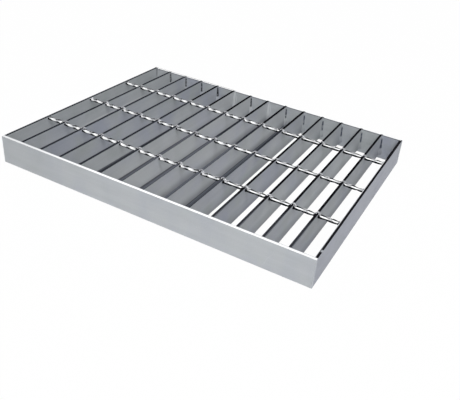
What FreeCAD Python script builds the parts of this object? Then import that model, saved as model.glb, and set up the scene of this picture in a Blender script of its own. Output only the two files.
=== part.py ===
import FreeCAD, Part
import Sketcher
import math
import os

# Steel grating panel lying flat on the ground: upright flat bearing bars,
# twisted square cross bars forge welded flush into their tops, two side bars
# and two banding bars that close the panel all round.
# Millimetres; X along the banding bars, Y along the bearing bars, Z up,
# origin on the ground under the middle of the panel.

doc = FreeCAD.newDocument("steel_grating_panel")

# Driving sizes
SIZES = [
    ("frame_height", 30, "height of the banding and side bars"),
    ("bar_height", 27, "height of a bearing bar"),
    ("bar_thickness", 3, "thickness of every flat bar"),
    ("bar_pitch", 25, "bearing bar spacing, centre to centre"),
    ("inner_bars", 13, "bearing bars between the two side bars"),
    ("panel_width", 260, "panel size along the bearing bars"),
    ("rod_side", 3, "side of the square cross bar"),
    ("rod_count", 3, "number of cross bars"),
    ("rod_setback", 62, "front edge to the first cross bar"),
    ("rod_pitch", 66, "cross bar spacing, centre to centre"),
    ("twist_pitch", 48, "length of a cross bar in which it turns once"),
    ("facets_per_turn", 32, "flat steps that make one turn of a cross bar"),
    ("turn_front", 35, "degrees that the front cross bar is turned at its middle"),
    ("turn_middle", 75, "the same for the middle cross bar"),
    ("turn_back", 41, "the same for the back cross bar"),
    ("weld_foot", 3.5, "leg of a weld at its lower end"),
    ("weld_tip", 0.8, "leg of a weld at its upper end"),
    ("weld_inset", 2, "bar left bare above and below a weld"),
]
# Sizes that follow from the driving ones
DERIVED = [
    ("bay_count", "=inner_bars + 1", "openings between the side bars"),
    ("panel_length", "=bay_count * bar_pitch", "overall length"),
    ("bar_length", "=panel_width - 2 * bar_thickness", "bar between the bandings"),
    ("inner_span", "=panel_length - 2 * bar_thickness", "clear between side bars"),
    ("bar_row", "=(inner_bars - 1) * bar_pitch", "first to last bearing bar"),
    ("bar_foot", "=frame_height - bar_height", "underside of a bearing bar"),
    ("weld_low", "=bar_foot + weld_inset", "lower end of a weld"),
    ("weld_high", "=frame_height - weld_inset", "upper end of a weld"),
    ("rod_radius", "=rod_side / sqrt(2)", "corner of the square to its centre"),
    ("rod_level", "=frame_height - rod_radius", "centre line of a cross bar"),
]

sheet = doc.addObject("Spreadsheet::Sheet", "sizes")
for row, (name, value, note) in enumerate(SIZES + DERIVED, start=1):
    sheet.set("A%d" % row, name)
    sheet.set("B%d" % row, str(value))
    sheet.set("C%d" % row, note)
    sheet.setAlias("B%d" % row, name)
doc.recompute()


def plane(body, role):
    """Return one of the origin planes or axes of a body."""
    return next(f for f in body.Origin.OriginFeatures if f.Role == role)


def sketch_on(body, role, name):
    """Add an empty sketch on an origin plane of a body."""
    sketch = body.newObject("Sketcher::SketchObject", name)
    sketch.AttachmentSupport = [(plane(body, role), "")]
    sketch.MapMode = "FlatFace"
    return sketch


def polygon(sketch, corners):
    """Draw a closed outline through the corners."""
    for k, (x, y) in enumerate(corners):
        u, v = corners[(k + 1) % len(corners)]
        sketch.addGeometry(Part.LineSegment(FreeCAD.Vector(x, y, 0),
                                            FreeCAD.Vector(u, v, 0)), False)


def box(name, length, width, height, at):
    """Add a rectangular bar; sizes and the place are expressions."""
    item = doc.addObject("Part::Box", name)
    item.Label = name
    item.setExpression("Length", length)
    item.setExpression("Width", width)
    item.setExpression("Height", height)
    for axis, value in zip("xyz", at):
        item.setExpression("Placement.Base." + axis, value)
    return item


S = "sizes."


def size(name):
    """Read a length in millimetres, or a plain number, from the sheet."""
    value = getattr(sheet, name)
    return float(getattr(value, "Value", value))


# Bearing bars: one upright flat bar between the bandings, repeated
bars = doc.addObject("PartDesign::Body", "bearing_bars")
section = sketch_on(bars, "XZ_Plane", "bar_section")
half = size("bar_thickness") / 2
top = size("frame_height")
low = top - size("bar_height")
polygon(section, [(-half, low), (half, low), (half, top), (-half, top)])
for k in range(4):
    section.addConstraint(Sketcher.Constraint("Coincident", k, 2, (k + 1) % 4, 1))
section.addConstraint(Sketcher.Constraint("Horizontal", 2))
section.addConstraint(Sketcher.Constraint("Vertical", 1))
section.addConstraint(Sketcher.Constraint("Vertical", 3))
section.addConstraint(Sketcher.Constraint("Symmetric", 0, 1, 0, 2, -2))
for name, args in (("thickness", ("DistanceX", 0, 1, 0, 2, 2 * half)),
                   ("height", ("DistanceY", 1, 1, 1, 2, top - low)),
                   ("level", ("DistanceY", -1, 1, 1, 2, top))):
    index = section.addConstraint(Sketcher.Constraint(*args))
    section.renameConstraint(index, name)
section.setExpression("Constraints.thickness", "sizes.bar_thickness")
section.setExpression("Constraints.height", "sizes.bar_height")
section.setExpression("Constraints.level", "sizes.frame_height")
pad = bars.newObject("PartDesign::Pad", "bar")
pad.Profile = section
pad.Midplane = True
pad.setExpression("Length", "sizes.bar_length")
doc.recompute()
row = bars.newObject("PartDesign::LinearPattern", "bar_row")
row.Originals = [pad]
row.Direction = (plane(bars, "X_Axis"), [""])
row.setExpression("Length", "sizes.bar_row")
row.setExpression("Occurrences", "sizes.inner_bars")
bars.Tip = row
doc.recompute()

# Welds: a run in each corner between a bearing bar and a banding, narrow at
# the top and wider towards the ground
corner = (half, size("bar_length") / 2)
runs = []
for end, leg, level in (("foot", "weld_foot", "weld_low"),
                        ("tip", "weld_tip", "weld_high")):
    run = sketch_on(bars, "XY_Plane", "weld_" + end)
    run.setExpression("AttachmentOffset.Base.z", "sizes." + level)
    x, y, r = corner[0], corner[1], size(leg)
    polygon(run, [(x, y), (x, y - r), (x + r, y)])
    for k in range(3):
        run.addConstraint(Sketcher.Constraint("Coincident", k, 2, (k + 1) % 3, 1))
    run.addConstraint(Sketcher.Constraint("Vertical", 0))
    run.addConstraint(Sketcher.Constraint("Horizontal", 2))
    for name, args, cell in (
            ("out", ("DistanceX", -1, 1, 0, 1, x), "sizes.bar_thickness / 2"),
            ("back", ("DistanceY", -1, 1, 0, 1, y), "sizes.bar_length / 2"),
            ("leg_y", ("DistanceY", 0, 2, 0, 1, r), "sizes." + leg),
            ("leg_x", ("DistanceX", 2, 2, 2, 1, r), "sizes." + leg)):
        index = run.addConstraint(Sketcher.Constraint(*args))
        run.renameConstraint(index, name)
        run.setExpression("Constraints." + name, cell)
    runs.append(run)
weld = bars.newObject("PartDesign::AdditiveLoft", "weld")
weld.Profile = runs[0]
weld.Sections = [(runs[1], [""])]
weld.Ruled = True
doc.recompute()
welds = bars.newObject("PartDesign::MultiTransform", "welds")
welds.Originals = [weld]
steps = []
for role, name in (("YZ_Plane", "both_sides"), ("XZ_Plane", "both_ends")):
    mirror = bars.newObject("PartDesign::Mirrored", name)
    mirror.MirrorPlane = (plane(bars, role), [""])
    steps.append(mirror)
along = bars.newObject("PartDesign::LinearPattern", "every_bar")
along.Direction = (plane(bars, "X_Axis"), [""])
along.setExpression("Length", "sizes.bar_row")
along.setExpression("Occurrences", "sizes.inner_bars")
welds.Transformations = steps + [along]
bars.Tip = welds
bars.setExpression("Placement.Base.x", "-sizes.bar_row / 2")
doc.recompute()


def square_at(x, middle_turn):
    """Corners of a cross bar's square at a distance x from its middle."""
    turn = middle_turn + 360 * x / size("twist_pitch")
    radius = size("rod_radius")
    corners = []
    for k in range(4):
        angle = math.radians(turn + 45 + 90 * k)
        corners.append(FreeCAD.Vector(x, radius * math.cos(angle),
                                      radius * math.sin(angle)))
    return corners


def facet(*corners):
    """Make one flat face from its corners."""
    return Part.Face(Part.makePolygon(list(corners) + [corners[0]]))


def twisted_bar(middle_turn):
    """Make a cross bar along X, from one side bar to the other.

    A square is turned step by step, and each step is closed with flat facets.
    """
    reach = size("inner_span") / 2
    step = size("twist_pitch") / size("facets_per_turn")
    inner = int(math.ceil(reach / step)) - 1
    stations = [-reach] + [k * step for k in range(-inner, inner + 1)] + [reach]
    rings = [square_at(x, middle_turn) for x in stations]
    faces = [facet(*rings[0]), facet(*rings[-1])]
    for a, b in zip(rings, rings[1:]):
        for k in range(4):
            n = (k + 1) % 4
            faces.append(facet(a[k], a[n], b[n]))
            faces.append(facet(a[k], b[n], b[k]))
    bar = Part.makeSolid(Part.makeShell(faces))
    if bar.Volume < 0:
        bar.reverse()
    return bar


# Cross bars: cut from twisted stock, so that each starts at a turn of its own
TURNS = ("turn_front", "turn_middle", "turn_back")
rods = []
for k in range(int(size("rod_count"))):
    rod = doc.addObject("Part::Feature", "cross_bar_%d" % (k + 1))
    rod.Shape = twisted_bar(size(TURNS[k % len(TURNS)]))
    rod.setExpression("Placement.Base.y", "sizes.rod_setback - sizes.panel_width / 2"
                      " + %d * sizes.rod_pitch" % k)
    rod.setExpression("Placement.Base.z", "sizes.rod_level")
    rods.append(rod)

# Grid: the cross bars are forge welded through every bearing bar
grid = doc.addObject("Part::MultiFuse", "bar_grid")
grid.Label = "bar_grid"
grid.Shapes = [bars] + rods

# Frame: the side bars stand between the bandings, which run full length
parts = [grid]
parts.append(box("left_side_bar", S + "bar_thickness", S + "bar_length",
                 S + "frame_height",
                 ("-sizes.panel_length / 2", "-sizes.bar_length / 2", "0 mm")))
parts.append(box("right_side_bar", S + "bar_thickness", S + "bar_length",
                 S + "frame_height",
                 ("sizes.inner_span / 2", "-sizes.bar_length / 2", "0 mm")))
parts.append(box("front_banding_bar", S + "panel_length", S + "bar_thickness",
                 S + "frame_height",
                 ("-sizes.panel_length / 2", "-sizes.panel_width / 2", "0 mm")))
parts.append(box("back_banding_bar", S + "panel_length", S + "bar_thickness",
                 S + "frame_height",
                 ("-sizes.panel_length / 2", "sizes.bar_length / 2", "0 mm")))
doc.recompute()

# Every object is sound before the pieces are written out
for item in doc.Objects:
    if any(word in item.State for word in ("Invalid", "Error")):
        raise RuntimeError("%s is not sound: %s" % (item.Name, item.State))
for item in parts:
    if item.Shape.isNull() or not item.Shape.isValid():
        raise RuntimeError(item.Label + " has no sound shape")
    if len(item.Shape.Solids) != 1:
        raise RuntimeError("%s has %d solids" % (item.Label, len(item.Shape.Solids)))

os.makedirs("parts", exist_ok=True)
for item in parts:
    item.Shape.exportStep("parts/%s.step" % item.Label)
    print(item.Label, round(item.Shape.Volume), item.Shape.BoundBox)
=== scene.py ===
"""Looks of a galvanised steel grating panel lying flat on a pale floor.

The panel is five welded pieces of flat bar: a grid of upright bearing bars
crossed by twisted square bars, two side bars and two banding bars. Their
shapes come from the frame; this file gives each its zinc finish, adds the
flash that the forge welding leaves at every crossing, and lights the scene.
Much of the light and shade on the bars is painted into their finishes:
highlights and dark reflections on the upper edges and cross bars, and shade
at the feet of the bars. Lengths are in metres.
"""

import logging
import math
from dataclasses import dataclass
from enum import Enum

import bmesh
import bpy
from mathutils import Matrix, Vector


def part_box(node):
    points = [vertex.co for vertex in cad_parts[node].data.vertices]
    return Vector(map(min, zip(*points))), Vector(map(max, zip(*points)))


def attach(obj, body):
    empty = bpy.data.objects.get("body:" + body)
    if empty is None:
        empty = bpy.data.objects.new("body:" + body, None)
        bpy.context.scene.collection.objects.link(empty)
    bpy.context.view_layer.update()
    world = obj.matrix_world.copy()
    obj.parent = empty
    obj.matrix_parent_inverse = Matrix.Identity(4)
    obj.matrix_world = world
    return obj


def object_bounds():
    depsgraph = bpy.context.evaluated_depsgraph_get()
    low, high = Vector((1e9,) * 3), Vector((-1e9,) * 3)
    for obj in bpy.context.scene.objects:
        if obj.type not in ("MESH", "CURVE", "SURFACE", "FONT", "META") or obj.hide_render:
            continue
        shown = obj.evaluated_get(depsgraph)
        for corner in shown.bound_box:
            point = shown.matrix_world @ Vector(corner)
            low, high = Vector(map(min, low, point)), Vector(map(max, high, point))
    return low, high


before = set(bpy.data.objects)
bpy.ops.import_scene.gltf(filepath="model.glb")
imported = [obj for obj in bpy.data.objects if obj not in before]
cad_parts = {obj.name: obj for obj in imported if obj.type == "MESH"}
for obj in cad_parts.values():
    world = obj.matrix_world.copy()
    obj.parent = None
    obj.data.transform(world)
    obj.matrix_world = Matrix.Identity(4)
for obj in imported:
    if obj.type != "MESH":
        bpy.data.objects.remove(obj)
CAD_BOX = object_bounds()
log = logging.getLogger("grating_panel")

Colour = tuple[float, float, float]
Triple = tuple[float, float, float]
# Where a soft mask is 0, and where it is 1.
Fade = tuple[float, float]
# Middle, half width and softness of a mask that is 1 in a range.
Band = tuple[float, float, float]
# Two pairs of a position and its grey level.
Stops = tuple[tuple[float, float], tuple[float, float]]
Socket = bpy.types.NodeSocket
Value = Socket | float | Colour

# A face looks along an axis, or straight up, where its normal has more than this.
FACING = 0.5
FACING_UP = 0.9
# How far below the top a point still belongs to the upper edges.
EDGE_SKIN = 0.00015
# Sockets of a Mix node that is set to colours.
MIX_SHARE, MIX_FIRST, MIX_SECOND, MIX_RESULT = 0, 6, 7, 2


class Blend(Enum):
    """How one colour is laid over another."""

    MIX = "MIX"
    MULTIPLY = "MULTIPLY"
    OVERLAY = "OVERLAY"


class Step(Enum):
    """The sums and comparisons that a mask is made of."""

    ABOVE = "GREATER_THAN"
    BELOW = "LESS_THAN"
    TIMES = "MULTIPLY"
    PLUS = "ADD"
    MINUS = "SUBTRACT"
    SIZE = "ABSOLUTE"
    LARGER = "MAXIMUM"
    ROOT = "SQRT"
    WRAP = "WRAP"
    WITHIN = "COMPARE"


@dataclass(frozen=True)
class Layout:
    """Where the bars of the panel stand.

    The outer sizes are read from the frame, and the rows repeat from its
    middle. Two of the bearing bars have clean welds at the back.
    """

    bar_pitch: float = 0.025
    bar_count: int = 13
    bar_thickness: float = 0.003
    rod_side: float = 0.003
    rod_count: int = 3
    rod_setback: float = 0.062
    rod_pitch: float = 0.066
    clean_welds: tuple[float, float] = (-0.050, 0.000)
    half_length: float = CAD_BOX[1].x
    half_width: float = CAD_BOX[1].y
    top: float = CAD_BOX[1].z

    @property
    def bar_half(self) -> float:
        """Return half the thickness of a flat bar."""
        return self.bar_thickness / 2

    @property
    def inner_width(self) -> float:
        """Return how far the inner faces of the bandings are from the middle."""
        return self.half_width - self.bar_thickness

    @property
    def rod_radius(self) -> float:
        """Return the distance from a cross bar's centre to its corner."""
        return self.rod_side / math.sqrt(2)

    @property
    def rod_level(self) -> float:
        """Return the height of a cross bar's centre line."""
        return self.top - self.rod_radius

    @property
    def bar_lines(self) -> list[float]:
        """Return the place along X of every bearing bar."""
        first = -(self.bar_count - 1) * self.bar_pitch / 2
        return [first + k * self.bar_pitch for k in range(self.bar_count)]

    @property
    def rod_lines(self) -> list[float]:
        """Return the place along Y of every cross bar."""
        first = self.rod_setback - self.half_width
        return [first + k * self.rod_pitch for k in range(self.rod_count)]


LAYOUT = Layout()


class Graph:
    """Builds the nodes of one tree."""

    def __init__(self, tree: bpy.types.NodeTree) -> None:
        """Empty the tree.

        Args:
            tree: Nodes of a material or of the world.
        """
        self.nodes = tree.nodes
        self.links = tree.links
        self.nodes.clear()

    def add(self, kind: str) -> bpy.types.Node:
        """Add a node of a kind."""
        return self.nodes.new("ShaderNode" + kind)

    def feed(self, socket: Socket, value: Value) -> None:
        """Link a socket to another, or set its value.

        Args:
            socket: The input that is fed.
            value: An output socket, a number or a colour.
        """
        if isinstance(value, Socket):
            self.links.new(value, socket)
        elif isinstance(value, tuple) and socket.type == "RGBA":
            socket.default_value = (*value, 1.0)
        else:
            socket.default_value = value

    def split(self, vector: Socket) -> tuple[Socket, ...]:
        """Take a vector apart.

        Args:
            vector: Socket of the vector.

        Returns:
            Its parts along X, Y and Z.
        """
        node = self.add("SeparateXYZ")
        self.links.new(vector, node.inputs[0])
        return tuple(node.outputs)

    def sum(self, step: Step, first: Value, second: Value = 0.0,
            third: Value = 0.0) -> Socket:
        """Combine or compare two numbers.

        Args:
            step: What is done with them.
            first: Socket or number.
            second: Socket or number.
            third: Socket or number, where the step takes three.

        Returns:
            The resulting value.
        """
        node = self.add("Math")
        node.operation = step.value
        for socket, value in zip(node.inputs, (first, second, third)):
            self.feed(socket, value)
        return node.outputs[0]

    def plus(self, first: Value, second: Value) -> Socket:
        """Return two numbers added."""
        return self.sum(Step.PLUS, first, second)

    def minus(self, first: Value, second: Value) -> Socket:
        """Return the first number less the second."""
        return self.sum(Step.MINUS, first, second)

    def times(self, first: Value, second: Value) -> Socket:
        """Return two numbers multiplied."""
        return self.sum(Step.TIMES, first, second)

    def size(self, value: Value) -> Socket:
        """Return a number without its sign."""
        return self.sum(Step.SIZE, value)

    def all_of(self, *masks: Value) -> Socket:
        """Join masks to one that is 1 only where every one of them is.

        Args:
            masks: Sockets, and numbers that weaken the result.

        Returns:
            The joined mask.
        """
        result = masks[0]
        for mask in masks[1:]:
            result = self.times(result, mask)
        return result

    def any_of(self, *masks: Value) -> Socket:
        """Join masks to one that is 1 where one of them is.

        Args:
            masks: Sockets.

        Returns:
            The joined mask.
        """
        result = masks[0]
        for mask in masks[1:]:
            result = self.sum(Step.LARGER, result, mask)
        return result

    def wrapped(self, value: Value, centre: float, pitch: float) -> Socket:
        """Return the distance to the nearest line of an even row, with its sign."""
        return self.sum(Step.WRAP, self.minus(value, centre), pitch / 2, -pitch / 2)

    def reach(self, first: Value, second: Value) -> Socket:
        """Return how far a point is from the middle, from two distances."""
        squares = [self.times(part, part) for part in (first, second)]
        return self.sum(Step.ROOT, self.plus(*squares))

    def fade(self, value: Value, start: float, end: float) -> Socket:
        """Rise softly from 0 to 1.

        Args:
            value: Socket that is tested.
            start: Where the result is 0.
            end: Where it is 1; it may lie below the start.

        Returns:
            A soft mask.
        """
        node = self.add("MapRange")
        node.interpolation_type = "SMOOTHSTEP"
        self.feed(node.inputs["Value"], value)
        node.inputs["From Min"].default_value = start
        node.inputs["From Max"].default_value = end
        return node.outputs[0]

    def below(self, value: Value, limit: float, soft: float) -> Socket:
        """Return the mask of values under a limit, as soft as is said."""
        return self.fade(value, limit + soft / 2, limit - soft / 2)

    def near(self, value: Value, centre: float, half: float, soft: float) -> Socket:
        """Mask the places where a value is close to a centre.

        Args:
            value: Socket that is tested.
            centre: Middle of the range.
            half: Half the width of the range.
            soft: How far its edge runs out.

        Returns:
            A mask, 1 inside the range.
        """
        return self.below(self.size(self.minus(value, centre)), half, soft)

    def ramp(self, value: Value, *stops: tuple[float, float]) -> Socket:
        """Bend a value through grey stops.

        Args:
            value: Socket that is bent.
            stops: Pairs of a position and its grey level.

        Returns:
            The bent value.
        """
        node = self.add("ValToRGB")
        self.feed(node.inputs["Fac"], value)
        for element, (position, level) in zip(node.color_ramp.elements, stops):
            element.position = position
            element.color = (level, level, level, 1.0)
        return node.outputs["Color"]

    def mix(self, share: Value, first: Value, second: Value,
            blend: Blend = Blend.MIX) -> Socket:
        """Lay a second colour over a first.

        Args:
            share: How much of the second shows.
            first: Socket or colour.
            second: Socket or colour.
            blend: How they are laid over each other.

        Returns:
            The mixed colour.
        """
        node = self.add("Mix")
        node.data_type = "RGBA"
        node.blend_type = blend.value
        for socket, value in ((MIX_SHARE, share), (MIX_FIRST, first),
                              (MIX_SECOND, second)):
            self.feed(node.inputs[socket], value)
        return node.outputs[MIX_RESULT]


class FinishGraph(Graph):
    """Builds the nodes of one material on the object's own coordinates."""

    def __init__(self, name: str) -> None:
        """Start a material that holds a shader and an output.

        Args:
            name: Name of the material.
        """
        self.material = bpy.data.materials.new(name)
        self.material.use_nodes = True
        super().__init__(self.material.node_tree)
        output = self.add("OutputMaterial")
        self.shader = self.add("BsdfPrincipled")
        self.links.new(self.shader.outputs["BSDF"], output.inputs["Surface"])
        self.place = self.add("TexCoord").outputs["Object"]
        self.x, self.y, self.z = self.split(self.place)
        facing = self.add("NewGeometry").outputs["Normal"]
        self.nx, self.ny, self.nz = self.split(facing)

    def from_bar(self) -> Socket:
        """Return the distance along X from the nearest bearing bar, with its sign."""
        return self.wrapped(self.x, 0.0, LAYOUT.bar_pitch)

    def from_rod(self) -> Socket:
        """Return the distance along Y from the nearest cross bar, with its sign."""
        return self.wrapped(self.y, LAYOUT.rod_lines[1], LAYOUT.rod_pitch)

    def upper_edge(self) -> Socket:
        """Return the mask of the upper edges, where they are flat."""
        return self.all_of(self.sum(Step.ABOVE, self.z, LAYOUT.top - EDGE_SKIN),
                           self.sum(Step.ABOVE, self.nz, FACING_UP))

    def noise(self, scale: float, detail: float = 3.0, rough: float = 0.5,
              stretch: Triple = (1.0, 1.0, 1.0), shift: Triple = (0.0, 0.0, 0.0),
              distortion: float = 0.0) -> Socket:
        """Make a noise pattern on the object's own coordinates.

        Args:
            scale: Patches per metre.
            detail: Octaves of finer patches.
            rough: Share of the finer octaves.
            stretch: Scale along each axis.
            shift: Offset of the pattern, so that two differ.
            distortion: How far the patches are bent.

        Returns:
            Value from 0 to 1.
        """
        mapping = self.add("Mapping")
        self.links.new(self.place, mapping.inputs["Vector"])
        mapping.inputs["Scale"].default_value = stretch
        mapping.inputs["Location"].default_value = shift
        node = self.add("TexNoise")
        self.links.new(mapping.outputs[0], node.inputs["Vector"])
        for name, value in (("Scale", scale), ("Detail", detail),
                            ("Roughness", rough), ("Distortion", distortion)):
            node.inputs[name].default_value = value
        return node.outputs["Fac"]

    def bump(self, height: Value, strength: float, distance: float) -> None:
        """Give the shader a bump from a height value.

        Args:
            height: Socket with the height.
            strength: Share of the bump that shows.
            distance: Height of the bump in metres.
        """
        node = self.add("Bump")
        node.inputs["Strength"].default_value = strength
        node.inputs["Distance"].default_value = distance
        self.feed(node.inputs["Height"], height)
        self.links.new(node.outputs["Normal"], self.shader.inputs["Normal"])


@dataclass(frozen=True)
class ZincFinish:
    """Dull hot-dip zinc on flat bar: cloudy grey with cool and warm patches.

    The patches are centimetres across, with a fine grain over them and a few
    long rolling streaks, and the zinc is a little smoother where it is dark.
    """

    body: Colour = (0.470, 0.490, 0.508)
    cool: Colour = (0.400, 0.420, 0.480)
    warm: Colour = (0.428, 0.452, 0.460)
    patchiness: float = 1.0
    patch_scale: float = 22.0
    patch_stretch: Triple = (1.7, 0.7, 0.7)
    patch_bend: float = 0.4
    warm_finer: float = 1.7
    warm_shift: Triple = (0.3, 0.1, 0.7)
    cool_range: tuple[float, float] = (0.44, 0.66)
    warm_range: tuple[float, float] = (0.50, 0.72)
    streak_scale: float = 120.0
    streak_stretch: Triple = (0.12, 0.12, 1.6)
    streak_shift: Triple = (0.9, 0.4, 0.2)
    streak_tones: Stops = ((0.3, 0.25), (0.7, 0.75))
    grain_scale: float = 900.0
    grain_rough: float = 0.6
    grain_tones: Stops = ((0.25, 0.2), (0.75, 0.8))
    grain_bump: tuple[float, float] = (0.25, 0.00012)
    fine_share: float = 0.08
    metallic: float = 0.25
    specular: float = 0.12
    roughness: tuple[float, float] = (0.42, 0.62)
    shine_from: Fade = (0.04, 0.20)

    def surface(self, graph: FinishGraph) -> Socket:
        """Lay the clouds, streaks and grain.

        Args:
            graph: Material that is built.

        Returns:
            The colour of the zinc.
        """
        cloud = graph.noise(self.patch_scale, detail=2.0, distortion=self.patch_bend,
                            stretch=self.patch_stretch)
        patch = graph.noise(self.patch_scale * self.warm_finer, shift=self.warm_shift)
        grain = graph.noise(self.grain_scale, detail=2.0, rough=self.grain_rough)
        streak = graph.noise(self.streak_scale, detail=2.0, stretch=self.streak_stretch,
                             shift=self.streak_shift)
        colour = self.body
        for pattern, (start, end), tone in ((cloud, self.cool_range, self.cool),
                                            (patch, self.warm_range, self.warm)):
            share = graph.ramp(pattern, (start, 0.0), (end, self.patchiness))
            colour = graph.mix(share, colour, tone)
        for pattern, tones in ((streak, self.streak_tones), (grain, self.grain_tones)):
            colour = graph.mix(self.fine_share, colour, graph.ramp(pattern, *tones),
                               Blend.OVERLAY)
        rough = graph.add("MapRange")
        graph.feed(rough.inputs["Value"], patch)
        for name, level in zip(("To Min", "To Max"), self.roughness):
            rough.inputs[name].default_value = level
        graph.links.new(rough.outputs[0], graph.shader.inputs["Roughness"])
        graph.bump(grain, *self.grain_bump)
        return colour

    def sheen(self, graph: FinishGraph, colour: Value) -> None:
        """Let the finished colour shine, but not where it is dark.

        Args:
            graph: Material that is built.
            colour: Its colour.
        """
        bright = graph.add("RGBToBW")
        graph.links.new(colour, bright.inputs[0])
        clean = graph.fade(bright.outputs[0], *self.shine_from)
        for name, level in (("Metallic", self.metallic),
                            ("Specular IOR Level", self.specular)):
            graph.feed(graph.shader.inputs[name], graph.times(clean, level))


@dataclass(frozen=True)
class PaintedEdgeReflection:
    """The narrow upper edge of a flat bar, painted as a bright highlight or a dark
    reflection.

    A rim in a tone of its own runs along one of its two arrises, as a painted
    highlight or a painted shade line.
    """

    core: Colour
    rim: Colour
    rim_width: float = 0.0006
    soft: float = 0.0004

    def lay(self, graph: FinishGraph, under: Value, from_rim: Value) -> Socket:
        """Colour the upward edge over another finish.

        Args:
            graph: Material that is built.
            under: Colour below it.
            from_rim: Distance from the arris that has the rim.

        Returns:
            The colour with the edge laid over it.
        """
        rim = graph.below(from_rim, self.rim_width, self.soft)
        return graph.mix(graph.upper_edge(), under, graph.mix(rim, self.core, self.rim))


@dataclass(frozen=True)
class TwistFinish:
    """Twisted square bar: a painted highlight band along it between black outlines
    of painted shade.

    The band is wide and white where a face leans to the front or the back, and
    a thin line where a corner does. Towards the right its white stretches grow
    longer and slimmer, and it lies a little higher.
    """

    # White and grey of the painted highlight, and black of the painted shade.
    bright: Colour = (0.98, 0.98, 0.98)
    dull: Colour = (0.92, 0.93, 0.94)
    ridge_highlight: Colour = (0.66, 0.67, 0.69)
    dark: Colour = (0.006, 0.007, 0.010)
    lean: float = math.radians(57.0)
    lit: Fade = (0.77, 0.88)
    right_from: Fade = (0.015, 0.070)
    longer: float = 0.24
    slimmer: float = 0.90
    lift: float = 0.00022
    face_half: float = 0.00122
    ridge_half: float = 0.00062
    soft: float = 0.0002
    outward: Fade = (0.0008, 0.0011)
    wear_scale: float = 160.0
    wear_stretch: Triple = (1.0, 0.3, 0.3)
    wear_tones: Stops = ((0.38, 0.0), (0.62, 1.0))
    skin: float = 0.00013
    clear_of_bar: float = 0.0001

    def lay(self, graph: FinishGraph, under: Value) -> Socket:
        """Paint the highlight band and the shaded outlines of the cross bars over the
        finish of the bearing bars.

        Args:
            graph: Material that is built.
            under: Colour of the rest of the grid.

        Returns:
            The colour with the cross bars in it.
        """
        ahead = graph.from_rod()
        above = graph.minus(graph.z, LAYOUT.rod_level)
        rod = graph.all_of(
            graph.sum(Step.BELOW, graph.reach(ahead, above),
                      LAYOUT.rod_radius + self.skin),
            graph.sum(Step.ABOVE, graph.size(graph.from_bar()),
                      LAYOUT.bar_half + self.clear_of_bar))
        right = graph.fade(graph.x, *self.right_from)
        # Painted highlight: facets that lean to the line of the band are painted white,
        # whatever the lighting.
        facing, _ = self.turned(graph, graph.ny, graph.nz)
        lit = graph.fade(graph.plus(facing, graph.times(right, self.longer)), *self.lit)
        wear = graph.noise(self.wear_scale, detail=1.0, stretch=self.wear_stretch)
        face = graph.mix(graph.ramp(wear, *self.wear_tones), self.dull, self.bright)
        out, aside = self.turned(graph, ahead, above)
        aside = graph.plus(aside, graph.times(right, self.lift))
        slim = graph.minus(1.0, graph.times(right, self.slimmer))
        widened = graph.all_of(lit, slim, self.face_half - self.ridge_half)
        away = graph.minus(graph.size(aside), widened)
        band = graph.times(graph.below(away, self.ridge_half, self.soft),
                           graph.fade(out, *self.outward))
        colour = graph.mix(band, self.dark, graph.mix(lit, self.ridge_highlight, face))
        return graph.mix(rod, under, colour)

    def turned(self, graph: FinishGraph, ahead: Value,
               above: Value) -> tuple[Socket, Socket]:
        """Turn a direction or a point to the line that the band looks along.

        Args:
            graph: Material that is built.
            ahead: Part along Y; both ways count the same.
            above: Part along Z.

        Returns:
            How far it goes along that line, and across it.
        """
        either = graph.size(ahead)
        sine, cosine = math.sin(self.lean), math.cos(self.lean)
        along = graph.plus(graph.times(either, sine), graph.times(above, cosine))
        across = graph.minus(graph.times(either, cosine), graph.times(above, sine))
        return along, across


@dataclass(frozen=True)
class SeamFinish:
    """Dark line down the middle of the weld between a bar and a banding bar.

    It is black at the left and a broader, softer slate at the right, where it
    also lies lower. Where a weld is clean it is left out.
    """

    black: Colour = (0.012, 0.013, 0.018)
    slate: Colour = (0.070, 0.078, 0.102)
    slate_from: Fade = (0.000, 0.060)
    half: tuple[float, float] = (0.0013, 0.0014)
    broader: float = 0.0006
    broad_scale: float = 55.0
    broad_shift: Triple = (0.2, 0.5, 0.1)
    broad_tones: Stops = ((0.45, 0.0), (0.62, 1.0))
    soft: float = 0.0004
    level: Band = (0.0225, 0.0062, 0.003)
    lower: float = 0.0030
    depth: Fade = (0.0045, 0.0040)
    ragged_scale: float = 300.0
    ragged_tones: Stops = ((0.34, 0.60), (0.50, 1.0))
    clean_width: tuple[float, float] = (0.006, 0.001)

    def lay(self, graph: FinishGraph, under: Value, inside: Value,
            beside: Value) -> Socket:
        """Draw the seam over another finish.

        Args:
            graph: Material that is built.
            under: Colour below it.
            inside: Distance from the banding bar.
            beside: Distance from the side of the bearing bar.

        Returns:
            The colour with the seam in it.
        """
        right = graph.fade(graph.x, *self.slate_from)
        ragged = graph.ramp(graph.noise(self.ragged_scale, detail=1.0),
                            *self.ragged_tones)
        broad = graph.noise(self.broad_scale, detail=0.0, shift=self.broad_shift)
        broad = graph.ramp(broad, *self.broad_tones)
        narrow, wide = self.half
        half = graph.plus(graph.plus(narrow, graph.times(broad, self.broader)),
                          graph.times(right, wide - narrow))
        off = graph.minus(graph.size(graph.minus(beside, inside)), half)
        lowered = graph.plus(graph.z, graph.times(right, self.lower))
        seam = graph.all_of(graph.below(off, 0.0, self.soft),
                            graph.near(lowered, *self.level),
                            graph.fade(inside, *self.depth), ragged)
        for place in LAYOUT.clean_welds:
            clean = graph.near(graph.x, place, *self.clean_width)
            seam = graph.minus(seam, graph.times(seam, clean))
        return graph.mix(seam, under, graph.mix(right, self.black, self.slate))


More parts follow.
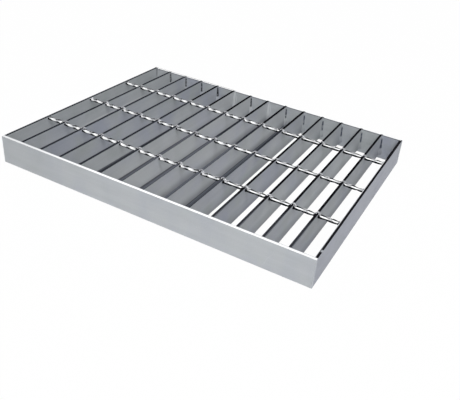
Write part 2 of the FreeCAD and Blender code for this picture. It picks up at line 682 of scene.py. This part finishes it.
@dataclass(frozen=True)
class FootShade:
    """A patch of painted shade at the foot of some of the bearing bars."""

    level: Fade
    bars: Band
    share: float

    def mask(self, graph: FinishGraph, height: Value, side: Value) -> Socket:
        """Return the mask of the patch, from a height and the faces that it is on."""
        return graph.all_of(graph.fade(height, *self.level),
                            graph.near(graph.x, *self.bars), side, self.share)


@dataclass
class BearingGrid:
    """The bearing bars and twisted cross bars, fused in one node."""

    node: str = "bar_grid"
    zinc: ZincFinish = ZincFinish()
    twist: TwistFinish = TwistFinish()
    seam: SeamFinish = SeamFinish()
    # Painted dark reflection on the upper edges of the bars, with a slightly paler painted
    # highlight along their right arris.
    edge: PaintedEdgeReflection = PaintedEdgeReflection(core=(0.034, 0.037, 0.046),
                                  rim=(0.050, 0.055, 0.068), rim_width=0.0003)
    # Colour of the painted shade at the feet of the bars and under their edges.
    slate: Colour = (0.062, 0.068, 0.088)
    # Painted light: paler zinc in the middle bays, and one painted highlight line on
    # the first bar.
    pale: Colour = (0.66, 0.67, 0.68)
    pale_bars: Band = (-0.012, 0.050, 0.060)
    pale_share: float = 0.28
    highlight_box: tuple[Band, Band, Band] = (
        (-0.1485, 0.0020, 0.0004), (0.010, 0.0550, 0.0300), (0.0155, 0.0007, 0.0010))
    highlight_share: float = 0.6
    # Painted shade at the feet of the bars: the deep patch rises to the front and the
    # left, and the last one is narrow.
    foot_from: Fade = (0.017, 0.003)
    foot_share: float = 0.36
    deep_foot_shade: FootShade = FootShade((0.00735, 0.00675), (-0.0485, 0.035, 0.010), 0.85)
    deep_foot_slope: tuple[float, float] = (0.056, 0.0125)
    soft_foot_shade: FootShade = FootShade((0.0140, 0.0040), (0.0140, 0.022, 0.010), 0.36)
    narrow_foot_shade: FootShade = FootShade((0.0052, 0.0044), (0.0265, 0.004, 0.002), 0.90)
    # Painted dark reflection on the upper edges at the right end, and painted
    # shadow wedges under their front ends.
    black: Colour = (0.007, 0.007, 0.009)
    dark_reflection_from: Fade = (0.055, 0.068)
    front_dark_reflection: Colour = (0.036, 0.038, 0.046)
    front_dark_reflection_from: Fade = (-0.078, -0.090)
    shadow_wedge_start: float = -0.070
    shadow_wedge_slope: float = 0.012
    shadow_wedge_rim: Fade = (-0.0001, 0.0002)
    # Painted reflections on the upper edges: dark at the back, a painted highlight
    # along one arris, and paler in the middle.
    back_bars: Fade = (-0.092, -0.072)
    back_row: Fade = (0.060, 0.068)
    arris_highlight: Colour = (0.20, 0.21, 0.23)
    arris_highlight_width: tuple[float, float] = (0.0005, 0.0004)
    pale_reflection: Colour = (0.090, 0.098, 0.118)
    pale_reflection_bars: Band = (0.010, 0.040, 0.016)
    pale_reflection_row: Fade = (0.020, -0.020)
    pale_reflection_side: Fade = (0.0011, 0.0008)
    # Marks on the upper edges, along Y from a cross bar: a black patch over it, and
    # pale painted highlights behind it and at its sides.
    black_patch: Band = (-0.0005, 0.0019, 0.0006)
    flash: Colour = (0.62, 0.63, 0.66)
    flash_behind: Band = (0.0024, 0.0010, 0.0006)
    flash_scale: float = 300.0
    flash_tones: Stops = ((0.35, 0.35), (0.60, 1.0))
    band_highlight_line: Band = (-0.0001, 0.0007, 0.0003)
    band_highlight_side: Fade = (0.0006, 0.0010)

    def build(self) -> bpy.types.Object:
        """Give the grid its material.

        Returns:
            The piece.
        """
        graph = FinishGraph("zinc_grid")
        right_face = graph.sum(Step.ABOVE, graph.nx, FACING)
        colour = self.shaded_foot(graph, self.paled(graph), right_face)
        inside = graph.minus(LAYOUT.inner_width, graph.size(graph.y))
        across = graph.from_bar()
        beside = graph.minus(graph.size(across), LAYOUT.bar_half)
        from_right = graph.minus(LAYOUT.bar_half, across)
        colour = self.seam.lay(graph, colour, inside, beside)
        colour = self.shadow_wedge(graph, colour, right_face)
        colour = self.edge.lay(graph, colour, from_right)
        colour = self.reflection_tops(graph, colour, across, from_right)
        colour = self.twist.lay(graph, self.crossings(graph, colour))
        return dress(self.node, graph, colour, self.zinc)

    def paled(self, graph: FinishGraph) -> Socket:
        """Lay the zinc, with painted light in the middle bays and one painted highlight
        line on the first bar.

        Args:
            graph: Material that is built.

        Returns:
            The colour of the zinc.
        """
        middle = graph.times(graph.near(graph.x, *self.pale_bars), self.pale_share)
        colour = graph.mix(middle, self.zinc.surface(graph), self.pale)
        sides = [graph.near(part, *band)
                 for part, band in zip((graph.x, graph.y, graph.z), self.highlight_box)]
        return graph.mix(graph.all_of(*sides, self.highlight_share), colour, self.pale)

    def shaded_foot(self, graph: FinishGraph, under: Value, side: Value) -> Socket:
        """Paint shade over the foot of every bar, and more so near the middle.

        Args:
            graph: Material that is built.
            under: Colour of the zinc.
            side: Mask of the faces that look to the right.

        Returns:
            The colour with the painted shade at the feet.
        """
        low = graph.all_of(graph.fade(graph.z, *self.foot_from), side, self.foot_share)
        rise = graph.z
        for part, slope in zip((graph.x, graph.y), self.deep_foot_slope):
            rise = graph.plus(rise, graph.times(part, slope))
        patches = graph.any_of(self.deep_foot_shade.mask(graph, rise, side),
                               self.soft_foot_shade.mask(graph, graph.z, side),
                               self.narrow_foot_shade.mask(graph, graph.z, side))
        return graph.mix(patches, graph.mix(low, under, self.slate), self.slate)

    def shadow_wedge(self, graph: FinishGraph, under: Value, side: Value) -> Socket:
        """Paint a tapering shadow under the edge of the bars at the front right.

        Args:
            graph: Material that is built.
            under: Colour of the zinc.
            side: Mask of the faces that look to the right.

        Returns:
            The colour with the painted shadows.
        """
        deep = graph.times(graph.minus(self.shadow_wedge_start, graph.y), self.shadow_wedge_slope)
        below = graph.minus(LAYOUT.top, graph.z)
        inside = graph.fade(graph.minus(deep, below), *self.shadow_wedge_rim)
        right = graph.fade(graph.x, *self.dark_reflection_from)
        return graph.mix(graph.all_of(inside, side, right), under, self.slate)

    def reflection_tops(self, graph: FinishGraph, under: Value, across: Value,
                  from_right: Value) -> Socket:
        """Rub the upper edges in the middle; blacken the right end and the back.

        Args:
            graph: Material that is built.
            under: Colour of the edges.
            across: Distance from the middle of a bar, with its sign.
            from_right: Distance from its right side.

        Returns:
            The colour with the painted reflections on the edges.
        """
        edge = graph.upper_edge()
        middle = graph.all_of(edge, graph.near(graph.x, *self.pale_reflection_bars),
                              graph.fade(graph.y, *self.pale_reflection_row),
                              graph.fade(across, *self.pale_reflection_side))
        right = graph.fade(graph.x, *self.dark_reflection_from)
        behind = graph.times(graph.fade(graph.x, *self.back_bars),
                             graph.fade(graph.y, *self.back_row))
        ahead = graph.times(graph.fade(graph.y, *self.front_dark_reflection_from), right)
        arris_highlight = graph.below(from_right, *self.arris_highlight_width)
        colour = graph.mix(middle, under, self.pale_reflection)
        colour = graph.mix(graph.times(edge, graph.any_of(right, behind)), colour,
                           graph.mix(ahead, self.black, self.front_dark_reflection))
        return graph.mix(graph.all_of(edge, right, arris_highlight), colour, self.arris_highlight)

    def crossings(self, graph: FinishGraph, under: Value) -> Socket:
        """Mark the forge welds on the upper edges of the bars.

        Args:
            graph: Material that is built.
            under: Colour of the edges.

        Returns:
            The colour with a black patch over each cross bar, a painted highlight
            line at both its sides and a pale painted highlight on the flash behind it.
        """
        edge = graph.upper_edge()
        ahead = graph.from_rod()
        mottle = graph.ramp(graph.noise(self.flash_scale, detail=1.0),
                            *self.flash_tones)
        black_patch = graph.times(edge, graph.near(ahead, *self.black_patch))
        flash = graph.all_of(edge, graph.near(ahead, *self.flash_behind), mottle)
        line = graph.all_of(edge, graph.near(ahead, *self.band_highlight_line),
                            graph.fade(graph.size(graph.from_bar()), *self.band_highlight_side))
        colour = graph.mix(black_patch, under, self.black)
        return graph.mix(graph.any_of(flash, line), colour, self.flash)


@dataclass
class FlatBar:
    """One flat bar of the frame round the grid.

    The rim of its upper edge is on the side that rim_sign gives.
    """

    node: str
    edge: PaintedEdgeReflection
    rim_sign: int
    zinc: ZincFinish = ZincFinish()

    def build(self) -> bpy.types.Object:
        """Give the bar its material.

        Returns:
            The piece.
        """
        graph = FinishGraph("zinc_" + self.node)
        colour = self.edge.lay(graph, self.zinc.surface(graph), self.from_rim(graph))
        return dress(self.node, graph, self.marks(graph, colour), self.zinc)

    def from_rim(self, graph: FinishGraph) -> Socket:
        """Measure the distance from the arris that has the rim.

        Args:
            graph: Material that is built.

        Returns:
            The distance across the bar.
        """
        low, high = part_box(self.node)
        flat = high - low
        axis, along = (0, graph.x) if flat.x < flat.y else (1, graph.y)
        if self.rim_sign > 0:
            return graph.minus(high[axis], along)
        return graph.minus(along, low[axis])

    def marks(self, graph: FinishGraph, under: Value) -> Value:
        """Return the colour as it is; a bar with marks of its own adds them."""
        return under


@dataclass
class FrontBanding(FlatBar):
    """The banding bar at the front: a scratch, a scuff and painted shade towards its
    left end.
    """

    pale: Colour = (0.56, 0.58, 0.60)
    arc_centre: tuple[float, float] = (0.1546, 0.0008)
    arc: Band = (0.025, 0.00025, 0.0003)
    arc_level: Band = (0.012, 0.0065, 0.002)
    arc_share: float = 0.45
    scuff_centre: tuple[float, float] = (0.064, 0.014)
    scuff: Fade = (0.006, 0.003)
    scuff_scale: float = 900.0
    scuff_tones: Stops = ((0.60, 0.0), (0.68, 1.0))
    scuff_share: float = 0.5
    left_shade: Colour = (0.36, 0.375, 0.385)
    left_shade_from: Fade = (-0.030, -0.170)
    left_shade_share: float = 0.35
    end_grain: Colour = (0.43, 0.455, 0.49)

    def marks(self, graph: FinishGraph, under: Value) -> Socket:
        """Scratch the face, paint shade towards the left end and give the end that
        looks to the right a bluish tone of its own.

        Args:
            graph: Material that is built.
            under: Colour of the bar.

        Returns:
            The colour with the marks.
        """
        front = graph.sum(Step.BELOW, graph.ny, -FACING)
        from_arc, from_scuff = (
            graph.reach(graph.minus(graph.x, x), graph.minus(graph.z, z))
            for x, z in (self.arc_centre, self.scuff_centre))
        arc = graph.all_of(graph.near(from_arc, *self.arc),
                           graph.near(graph.z, *self.arc_level), front, self.arc_share)
        flecks = graph.ramp(graph.noise(self.scuff_scale, detail=1.0),
                            *self.scuff_tones)
        scuff = graph.all_of(graph.fade(from_scuff, *self.scuff), flecks, front,
                             self.scuff_share)
        # Painted shade: the face grows darker towards its left end.
        left = graph.times(graph.fade(graph.x, *self.left_shade_from), self.left_shade_share)
        colour = graph.mix(left, under, self.left_shade)
        colour = graph.mix(graph.any_of(arc, scuff), colour, self.pale)
        cut = graph.sum(Step.ABOVE, graph.nx, FACING)
        return graph.mix(cut, colour, self.end_grain)


@dataclass
class BackBanding(FlatBar):
    """The banding bar at the back, dark where a bearing bar meets its edge.

    A drop is how far a place lies under the top, and an inset how far it lies
    inside the outer face.
    """

    line: Colour = (0.10, 0.095, 0.095)
    line_from: Fade = (-0.035, -0.060)
    line_inset: Fade = (0.0010, 0.0006)
    bar_end_dark: Colour = (0.030, 0.032, 0.040)
    bar_end_dark_side: Band = (0.0004, 0.0016, 0.0006)
    bar_end_dark_inset: Fade = (0.0012, 0.0016)
    brow: Colour = (0.075, 0.080, 0.095)
    brow_drop: Fade = (0.0012, 0.0004)
    brow_share: float = 0.8
    toe: Colour = (0.62, 0.64, 0.65)
    toe_slope: float = 0.25
    toe_side: Band = (0.0010, 0.0006, 0.0006)
    toe_drop: Fade = (0.0170, 0.0110)
    toe_share: float = 0.70
    corner_from: Fade = (-0.1702, -0.1708)
    corner_drop: Fade = (0.0160, 0.0060)
    corner_share: float = 0.75

    def marks(self, graph: FinishGraph, under: Value) -> Socket:
        """Darken the arrises, the places of the bearing bars and the corner.

        Args:
            graph: Material that is built.
            under: Colour of the bar.

        Returns:
            The colour with the marks.
        """
        edge = graph.upper_edge()
        inset = graph.minus(LAYOUT.half_width, graph.y)
        drop = graph.minus(LAYOUT.top, graph.z)
        line = graph.all_of(edge, graph.fade(graph.x, *self.line_from),
                            graph.fade(inset, *self.line_inset))
        bar_end_dark = graph.all_of(edge, graph.near(graph.from_bar(), *self.bar_end_dark_side),
                             graph.fade(inset, *self.bar_end_dark_inset))
        brow = graph.all_of(graph.sum(Step.BELOW, graph.ny, -FACING),
                            graph.fade(drop, *self.brow_drop), self.brow_share)
        corner = graph.all_of(graph.fade(graph.x, *self.corner_from),
                              graph.fade(drop, *self.corner_drop), self.corner_share)
        for mask, tone in ((brow, self.brow), (line, self.line),
                           (self.toes(graph, drop), self.toe), (corner, self.brow),
                           (bar_end_dark, self.bar_end_dark)):
            under = graph.mix(mask, under, tone)
        return under

    def toes(self, graph: FinishGraph, drop: Value) -> Socket:
        """Find the pale sloping toe of the clean welds.

        Args:
            graph: Material that is built.
            drop: Distance under the top.

        Returns:
            The mask of the toes.
        """
        slope = graph.times(drop, self.toe_slope)
        toes = []
        for place in LAYOUT.clean_welds:
            out = graph.minus(graph.x, place + LAYOUT.bar_half)
            toes.append(graph.near(graph.minus(out, slope), *self.toe_side))
        return graph.all_of(graph.any_of(*toes), graph.fade(drop, *self.toe_drop),
                            self.toe_share)


@dataclass
class RightSideBar(FlatBar):
    """The side bar at the right, whose painted dark reflection on the edge is nicked
    near its front end.
    """

    worn_and_highlit: Colour = (0.36, 0.38, 0.41)
    nick: Band = (-0.1165, 0.0016, 0.0008)
    nick_side: Fade = (0.1730, 0.1736)
    dark_reflection_from: Fade = (0.066, 0.076)
    black_side: Fade = (0.1734, 0.1730)

    def marks(self, graph: FinishGraph, under: Value) -> Socket:
        """Bare the zinc in a nick near the front and paint the dark reflection over the
        rim at the back.

        Args:
            graph: Material that is built.
            under: Colour of the bar.

        Returns:
            The colour with the marks.
        """
        top = graph.sum(Step.ABOVE, graph.nz, FACING_UP)
        behind = graph.all_of(top, graph.fade(graph.y, *self.dark_reflection_from),
                              graph.fade(graph.x, *self.black_side))
        nick = graph.all_of(top, graph.near(graph.y, *self.nick),
                            graph.fade(graph.x, *self.nick_side))
        return graph.mix(nick, graph.mix(behind, under, self.edge.core), self.worn_and_highlit)


def dress(node: str, graph: FinishGraph, colour: Value,
          zinc: ZincFinish) -> bpy.types.Object:
    """Give one piece of the frame its finished material.

    Args:
        node: Name of the piece.
        graph: Material that is built.
        colour: Its colour.
        zinc: Finish that its sheen is taken from.

    Returns:
        The piece.
    """
    graph.feed(graph.shader.inputs["Base Color"], colour)
    zinc.sheen(graph, colour)
    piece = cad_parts[node]
    piece.data.materials.clear()
    piece.data.materials.append(graph.material)
    return piece


@dataclass(frozen=True)
class Bead:
    """A rounded drop of flash, and where it stands from a crossing."""

    half: Triple
    out: float
    ahead: float
    level: float
    segments: tuple[int, int] = (8, 5)

    def swollen(self, factor: float, highest: float) -> "Bead":
        """Return it enlarged, but no higher than a level."""
        half = tuple(factor * part for part in self.half)
        return Bead(half, self.out, self.ahead, min(self.level, highest - half[2]))

    def add(self, shape: bmesh.types.BMesh, x: float, y: float, side: int) -> None:
        """Add it to a mesh.

        Args:
            shape: Mesh that is built.
            x: Place of the bearing bar.
            y: Place of the cross bar.
            side: Side of the bearing bar, 1 for the right.
        """
        at = (x + side * self.out, y + self.ahead, self.level)
        around, upward = self.segments
        bmesh.ops.create_uvsphere(
            shape, u_segments=around, v_segments=upward, radius=1.0,
            matrix=Matrix.Translation(at) @ Matrix.Diagonal((*self.half, 1.0)))


@dataclass
class ForgeWelds:
    """Flash pressed out beside the cross bars where they enter another bar.

    A tall thin bead stands behind each crossing and a low one in front of it,
    on both sides of the bar. They are larger at the right, in front of the
    front cross bar and behind the back one.
    """

    name: str = "forge_weld_flash"
    behind: Bead = Bead((0.0011, 0.0008, 0.0015), 0.0019, 0.0017, 0.0284)
    before: Bead = Bead((0.0012, 0.0010, 0.0012), 0.0018, -0.0019, 0.0282)
    swell: float = 1.4
    swell_from: float = 0.040
    below_top: float = 0.0001
    # Painted highlight behind a cross bar and painted shade in front of it.
    bright: Colour = (0.86, 0.87, 0.89)
    dark: Colour = (0.006, 0.007, 0.009)
    highlight_from: Fade = (-0.0005, 0.0005)
    mottle_scale: float = 400.0
    mottle_tones: Stops = ((0.35, 0.60), (0.60, 1.0))
    mottle_bump: tuple[float, float] = (0.3, 0.0001)
    specular: float = 0.05
    roughness: float = 0.55

    def build(self) -> bpy.types.Object:
        """Model the beads at every crossing and finish them.

        Returns:
            The piece.
        """
        shape = bmesh.new()
        stands = [(x, side) for x in LAYOUT.bar_lines for side in (-1, 1)]
        wall = LAYOUT.half_length - LAYOUT.bar_half
        stands += [(-wall, 1), (wall, -1)]
        first, *_, last = LAYOUT.rod_lines
        for line in LAYOUT.rod_lines:
            for x, side in stands:
                for bead, larger_at in ((self.behind, last), (self.before, first)):
                    if line == larger_at and x > self.swell_from:
                        bead = bead.swollen(self.swell, LAYOUT.top - self.below_top)
                    bead.add(shape, x, line, side)
        for face in shape.faces:
            face.smooth = True
        mesh = bpy.data.meshes.new(self.name)
        shape.to_mesh(mesh)
        shape.free()
        piece = bpy.data.objects.new(self.name, mesh)
        bpy.context.scene.collection.objects.link(piece)
        mesh.materials.append(self.finish())
        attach(piece, "root")
        return piece

    def finish(self) -> bpy.types.Material:
        """Paint the beads with a highlight behind a cross bar and with shade in front of
        it.

        Returns:
            Their material.
        """
        graph = FinishGraph("weld_flash")
        mottle = graph.ramp(graph.noise(self.mottle_scale, detail=1.0),
                            *self.mottle_tones)
        bright = graph.mix(1.0, self.bright, mottle, Blend.MULTIPLY)
        behind = graph.fade(graph.from_rod(), *self.highlight_from)
        graph.feed(graph.shader.inputs["Base Color"],
                   graph.mix(behind, self.dark, bright))
        graph.shader.inputs["Specular IOR Level"].default_value = self.specular
        graph.shader.inputs["Roughness"].default_value = self.roughness
        graph.bump(mottle, *self.mottle_bump)
        return graph.material


@dataclass(frozen=True)
class Lamp:
    """One soft square lamp that looks at the panel."""

    name: str
    at: Triple
    watts: float
    size: float = 1.2

    def hang(self) -> None:
        """Add the lamp to the scene."""
        data = bpy.data.lights.new(self.name, "AREA")
        data.shape = "SQUARE"
        data.size = self.size
        data.energy = self.watts
        lamp = bpy.data.objects.new(self.name, data)
        lamp.location = self.at
        lamp.rotation_mode = "QUATERNION"
        lamp.rotation_quaternion = (-Vector(self.at)).to_track_quat("-Z", "Y")
        bpy.context.scene.collection.objects.link(lamp)


@dataclass
class Studio:
    """The pale floor, the soft lights and the camera.

    One thin strip of the floor, right under a bar, has a painted shadow: its
    middle along X and half its width are given.
    """

    white: Colour = (1.0, 1.0, 1.0)
    floor_size: float = 6.0
    floor_drop: float = 0.0002
    floor_colour: Colour = (0.90, 0.90, 0.90)
    floor_glow: float = 0.98
    strip: tuple[float, float] = (0.0245, 0.0012)
    strip_shadow: Colour = (0.10, 0.11, 0.13)
    world_colour: Colour = (0.80, 0.81, 0.83)
    world_strength: float = 0.275
    lamps: tuple[Lamp, ...] = (
        Lamp("key", (0.4, -1.6, 1.3), 16.8),
        Lamp("high", (1.7, -0.5, 2.4), 28.8),
        Lamp("right", (1.4, -1.4, 1.2), 9.4),
        Lamp("behind", (-1.2, 1.3, 1.5), 12.0),
    )
    picture: tuple[int, int] = (460, 400)
    focal_px: float = 581.7
    centre_px: tuple[float, float] = (264.0, 151.0)
    eye: Triple = (0.28076, -0.48932, 0.32480)
    turn: Triple = (61.423, -5.504, 27.296)
    sensor_width: float = 36.0
    clip_start: float = 0.01

    def show(self, graph: Graph, share: float, light: Socket, sight: Socket,
             output: bpy.types.Node) -> None:
        """Light things with one shader and show another.

        Args:
            graph: Nodes that are built.
            share: How much of the second the camera, gloss and glass see.
            light: Shader for the light that lands on things.
            sight: Shader for what is seen.
            output: Node that takes the result.
        """
        rays = graph.add("LightPath").outputs
        seen = graph.any_of(*(rays[name] for name in (
            "Is Camera Ray", "Is Glossy Ray", "Is Transmission Ray")))
        mix = graph.add("MixShader")
        for socket, value in zip(mix.inputs, (graph.times(seen, share), light, sight)):
            graph.links.new(value, socket)
        graph.links.new(mix.outputs[0], output.inputs["Surface"])

    def floor(self) -> None:
        """Lay the floor, white to the camera but still a little shadowed."""
        mesh = bpy.data.meshes.new("floor")
        shape = bmesh.new()
        bmesh.ops.create_grid(shape, x_segments=1, y_segments=1, size=self.floor_size)
        bmesh.ops.translate(shape, verts=shape.verts, vec=(0.0, 0.0, -self.floor_drop))
        shape.to_mesh(mesh)
        shape.free()
        floor = bpy.data.objects.new("floor", mesh)
        bpy.context.scene.collection.objects.link(floor)
        material = bpy.data.materials.new("pale_floor")
        material.use_nodes = True
        graph = Graph(material.node_tree)
        diffuse = graph.add("BsdfDiffuse")
        graph.feed(diffuse.inputs["Color"], self.floor_colour)
        glow = graph.add("Emission")
        graph.feed(glow.inputs["Color"], self.strip_shade(graph))
        self.show(graph, self.floor_glow, diffuse.outputs[0], glow.outputs[0],
                  graph.add("OutputMaterial"))
        mesh.materials.append(material)

    def strip_shade(self, graph: Graph) -> Socket:
        """Paint a shadow into the glow of the floor in a thin strip right under one bar.

        Args:
            graph: Nodes that are built.

        Returns:
            The colour of the glow.
        """
        x, y, _ = graph.split(graph.add("TexCoord").outputs["Object"])
        strip = graph.times(graph.sum(Step.WITHIN, x, *self.strip),
                            graph.sum(Step.WITHIN, y, 0.0, LAYOUT.inner_width))
        return graph.mix(strip, self.white, self.strip_shadow)

    def world(self) -> None:
        """Set the even light of the room and its white background."""
        world = bpy.data.worlds.new("studio")
        world.use_nodes = True
        graph = Graph(world.node_tree)
        room, back = graph.add("Background"), graph.add("Background")
        graph.feed(room.inputs["Color"], self.world_colour)
        graph.feed(room.inputs["Strength"], self.world_strength)
        graph.feed(back.inputs["Color"], self.white)
        self.show(graph, 1.0, room.outputs[0], back.outputs[0],
                  graph.add("OutputWorld"))
        bpy.context.scene.world = world

    def camera(self) -> None:
        """Place the camera where the picture was taken from."""
        width, height = self.picture
        data = bpy.data.cameras.new("camera")
        data.sensor_fit = "HORIZONTAL"
        data.sensor_width = self.sensor_width
        data.lens = self.focal_px * self.sensor_width / width
        data.shift_x = (width / 2 - self.centre_px[0]) / width
        data.shift_y = (self.centre_px[1] - height / 2) / width
        data.clip_start = self.clip_start
        camera = bpy.data.objects.new("camera", data)
        camera.location = self.eye
        camera.rotation_euler = tuple(math.radians(angle) for angle in self.turn)
        bpy.context.scene.collection.objects.link(camera)
        bpy.context.scene.camera = camera

    def build(self) -> None:
        """Build the floor, the lights and the camera."""
        bpy.context.scene.view_settings.view_transform = "Standard"
        self.floor()
        self.world()
        for lamp in self.lamps:
            lamp.hang()
        self.camera()


def main() -> None:
    """Dress the panel, add the weld flash, light it and report every piece."""
    logging.basicConfig(level=logging.INFO, format="%(name)s: %(message)s")
    # Painted edges: a bright highlight core or a dark reflection core, each with a painted
    # highlight or shade line along one arris.
    worn_and_highlit = PaintedEdgeReflection(core=(0.95, 0.96, 0.97), rim=(0.30, 0.31, 0.33), rim_width=0.0003)
    dark_reflection_edge = PaintedEdgeReflection(core=(0.014, 0.014, 0.017), rim=(0.80, 0.81, 0.82))
    slate = PaintedEdgeReflection(core=(0.014, 0.016, 0.020), rim=(0.50, 0.51, 0.53))
    even = ZincFinish(patchiness=0.35)
    greenish = ZincFinish(cool=(0.440, 0.460, 0.480), warm=(0.410, 0.440, 0.440))
    # A darker, bluer copy of the zinc for the right side bar: painted shade that tones
    # down its lit outer face.
    shaded_bluish = ZincFinish(body=(0.335, 0.350, 0.392), cool=(0.312, 0.325, 0.380),
                        warm=(0.328, 0.345, 0.372), patchiness=0.7)
    pieces = [
        BearingGrid(),
        FrontBanding("front_banding_bar", worn_and_highlit, rim_sign=1, zinc=even),
        BackBanding("back_banding_bar", worn_and_highlit, rim_sign=-1),
        FlatBar("left_side_bar", slate, rim_sign=-1, zinc=greenish),
        RightSideBar("right_side_bar", dark_reflection_edge, rim_sign=-1, zinc=shaded_bluish),
        ForgeWelds(),
    ]
    for piece in pieces:
        log.info("finished %s", piece.build().name)
    Studio().build()


if __name__ == "__main__":
    main()
